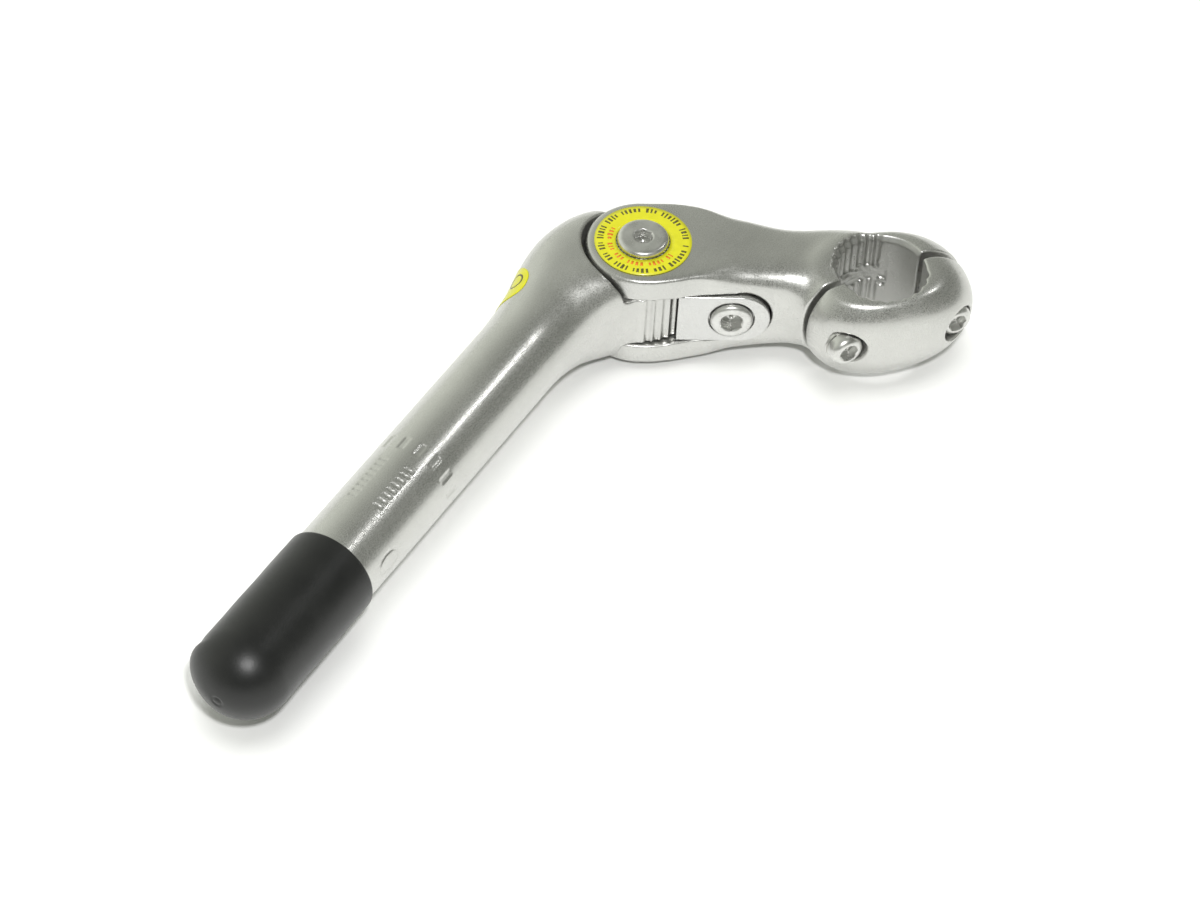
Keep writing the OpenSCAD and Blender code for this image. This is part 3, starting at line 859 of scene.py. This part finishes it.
def satin_alloy(name, brush_turn, pale=(0.65, 0.65, 0.63)):
    """Forged aluminium, hand polished: faint brush lines, patchy gloss and rougher cut faces."""
    look = Look(name, Metallic=1.0)
    patches = look.noise(60, 4)
    brush = look.noise(900, 2, stretch=(1, 0.03, 1), turn=brush_turn)
    grain = look.noise(5200, 2)
    cut_face = look.cut()
    dull = tuple(c * 0.90 for c in pale)
    look.set("Base Color", look.colours(patches, (0.3, dull), (0.7, pale)))
    rough = look.math("ADD", look.ramp(patches, 0.3, 0.7, 0.17, 0.23), look.ramp(brush, 0.3, 0.7, -0.02, 0.04))
    rough = look.math("ADD", rough, look.ramp(grain, 0.42, 0.62, 0, 0.26))
    look.set("Roughness", look.math("ADD", rough, look.ramp(cut_face, 0.1, 0.5, 0, 0.08)))
    height = look.math("ADD", look.ramp(brush, 0, 1, 0, 1), look.ramp(grain, 0, 1, 0, 0.3))
    look.bump(height, 0.05, 0.0001)
    return look.material


def bright_steel(name, base=(0.74, 0.74, 0.72)):
    """Plated steel: fine turned grain and a few darker smudges."""
    look = Look(name, Metallic=1.0)
    patches = look.noise(240, 3)
    grain = look.noise(4200, 2)
    look.set("Base Color", look.colours(patches, (0.35, tuple(c * 0.82 for c in base)), (0.65, base)))
    look.set("Roughness", look.ramp(patches, 0.3, 0.7, 0.24, 0.36))
    look.bump(grain, 0.10, 0.00008)
    return look.material


def bronze():
    look = Look("bronze", Metallic=1.0)
    patches = look.noise(300, 3)
    look.set("Base Color", look.colours(patches, (0.3, (0.50, 0.30, 0.13)), (0.7, (0.66, 0.44, 0.21))))
    look.set("Roughness", look.ramp(patches, 0.3, 0.7, 0.28, 0.42))
    look.bump(look.noise(2600, 2), 0.15, 0.0001)
    return look.material


def black_rubber():
    """Soft dipped rubber: near black, a dusty sheen and a very fine skin."""
    look = Look("black_rubber", Sheen_Weight=0.05, Sheen_Roughness=0.4)
    patches = look.noise(90, 4)
    pores = look.noise(3800, 3)
    look.set("Base Color", look.colours(patches, (0.3, (0.005, 0.0055, 0.0055)), (0.7, (0.009, 0.0095, 0.009))))
    look.set("Roughness", look.ramp(patches, 0.3, 0.7, 0.34, 0.42))
    look.bump(pores, 0.35, 0.00012)
    return look.material


def printed_film(name, colour, roughness=0.35):
    look = Look(name, Coat_Weight=0.3, Coat_Roughness=0.15)
    patches = look.noise(400, 3)
    dull = tuple(c * 0.9 for c in colour)
    look.set("Base Color", look.colours(patches, (0.3, dull), (0.7, colour)))
    look.set("Roughness", look.ramp(patches, 0.3, 0.7, roughness - 0.05, roughness + 0.08))
    look.bump(look.noise(700, 2), 0.08, 0.0001)
    return look.material


def paint(obj, material):
    obj.data.materials.clear()
    obj.data.materials.append(material)


def paint_node(node, material):
    """A CAD node that stays keeps its mesh and takes a new material."""
    for slot in frame["nodes"][node].material_slots:
        slot.material = material


# ---------------------------------------------------------------- stage, light and camera


def make_stage():
    """White table, level with the lowest point of the object."""
    half = 4.0
    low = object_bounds()[0].z
    centre = (cad_low + cad_high) / 2
    mesh = bpy.data.meshes.new("table")
    corners = [(centre.x + sx * half, centre.y + sy * half, low - 0.0002)
               for sx, sy in ((-1, -1), (1, -1), (1, 1), (-1, 1))]
    mesh.from_pydata(corners, [], [(0, 1, 2, 3)])
    table = bpy.data.objects.new("table", mesh)
    bpy.context.scene.collection.objects.link(table)
    look = Look("white_table", Roughness=0.6)
    look.set("Base Color", look.colours(look.noise(3, 2), (0.3, (0.93, 0.93, 0.92)), (0.7, (0.96, 0.96, 0.955))))
    paint(table, look.material)


def area_light(name, aim, azimuth, elevation, distance, size, watts, colour=(1, 1, 1)):
    data = bpy.data.lights.new(name, "AREA")
    data.shape = "RECTANGLE"
    data.size, data.size_y = size
    data.energy = watts
    data.color = colour
    obj = bpy.data.objects.new(name, data)
    a, e = math.radians(azimuth), math.radians(elevation)
    back = Vector((math.sin(a) * math.cos(e), -math.cos(a) * math.cos(e), math.sin(e)))
    obj.location = aim + back * distance
    obj.rotation_mode = "QUATERNION"
    obj.rotation_quaternion = (-back).to_track_quat("-Z", "Y")
    bpy.context.scene.collection.objects.link(obj)


def make_light():
    """Bright table under a dim room, a flash near the camera and a soft window."""
    aim = (cad_low + cad_high) / 2
    world = bpy.data.worlds.new("room")
    bpy.context.scene.world = world
    world.use_nodes = True
    tree = world.node_tree
    back = tree.nodes["Background"]
    place = tree.nodes.new("ShaderNodeTexCoord")
    split = tree.nodes.new("ShaderNodeSeparateXYZ")
    glow = tree.nodes.new("ShaderNodeMapRange")
    for socket, number in (("From Min", 0.5), ("From Max", -0.8), ("To Min", 0.0), ("To Max", 1.0)):
        glow.inputs[socket].default_value = number
    tree.links.new(place.outputs["Generated"], split.inputs[0])
    tree.links.new(split.outputs["X"], glow.inputs["Value"])
    curved = tree.nodes.new("ShaderNodeMath")
    curved.operation = "POWER"
    curved.inputs[1].default_value = 2.5
    lifted = tree.nodes.new("ShaderNodeMath")
    lifted.operation = "MULTIPLY_ADD"
    lifted.inputs[1].default_value, lifted.inputs[2].default_value = 0.62, 0.27
    tree.links.new(glow.outputs["Result"], curved.inputs[0])
    tree.links.new(curved.outputs["Value"], lifted.inputs[0])
    tree.links.new(lifted.outputs["Value"], back.inputs["Strength"])
    back.inputs["Color"].default_value = (0.97, 1.0, 0.90, 1)
    top = bpy.data.lights.new("ceiling", "SUN")
    top.energy = 1.25
    top.angle = math.radians(35)
    obj = bpy.data.objects.new("ceiling", top)
    obj.visible_glossy = False
    bpy.context.scene.collection.objects.link(obj)
    area_light("flash", aim, 35, 56, 1.3, (0.10, 0.10), 10.0)
    area_light("ceiling_lamp", aim, 151.7, 47.4, 1.6, (0.12, 0.12), 1.0)


def make_camera():
    """The photograph's viewing angle."""
    data = bpy.data.cameras.new("camera")
    data.lens = 126.6
    data.sensor_width = 36.0
    data.clip_start, data.clip_end = 0.05, 20.0
    camera = bpy.data.objects.new("camera", data)
    azimuth, elevation, roll = math.radians(28.37), math.radians(47.40), math.radians(3.62)
    turn = Matrix.Rotation(azimuth, 3, "Z") @ Matrix.Rotation(math.pi / 2 - elevation, 3, "X")
    camera.matrix_world = (turn @ Matrix.Rotation(roll, 3, "Z")).to_4x4()
    camera.location = (0.41572, -0.66223, 0.86441)
    bpy.context.scene.collection.objects.link(camera)
    bpy.context.scene.camera = camera


# ---------------------------------------------------------------- build


def build():
    arm_turn = math.atan2(ARM_OUT[1], ARM_OUT[0])
    quill_alloy = satin_alloy("alloy_quill", 0.0)
    arm_alloy = satin_alloy("alloy_arm", math.pi / 2 - arm_turn)
    block_alloy = satin_alloy("alloy_block", 0.0, (0.68, 0.68, 0.67))
    steel = bright_steel("bright_steel")
    paint(make_quill(), quill_alloy)
    paint(make_cap(), black_rubber())
    paint(make_arm(), arm_alloy)
    paint(make_clamp_cap(), arm_alloy)
    paint(make_block(), block_alloy)
    for screw in make_screws():
        paint(screw, steel)
    paint(make_nut(), steel)
    yellow = printed_film("yellow_film", (0.68, 0.66, 0.012))
    ring, ticks, marks = make_label()
    paint(ring, yellow)
    paint(ticks, printed_film("olive_ink", (0.10, 0.09, 0.008)))
    paint(marks, printed_film("orange_ink", (0.78, 0.20, 0.006)))
    film, mark = make_sticker()
    paint(film, yellow)
    paint(mark, printed_film("dark_ink", (0.06, 0.05, 0.01)))
    for node in ("expander_bolt", "expander_washer", "shim_right", "shim_left", "pivot_lock_washer",
                 "pivot_nut_washer", "lock_washer", "clamp_washer_upper", "clamp_washer_lower"):
        paint_node(node, steel)
    paint_node("expander_wedge", quill_alloy)
    paint_node("pivot_bush", bronze())


build()
make_stage()
make_light()
make_camera()
scene = bpy.context.scene
scene.view_settings.view_transform = "Standard"
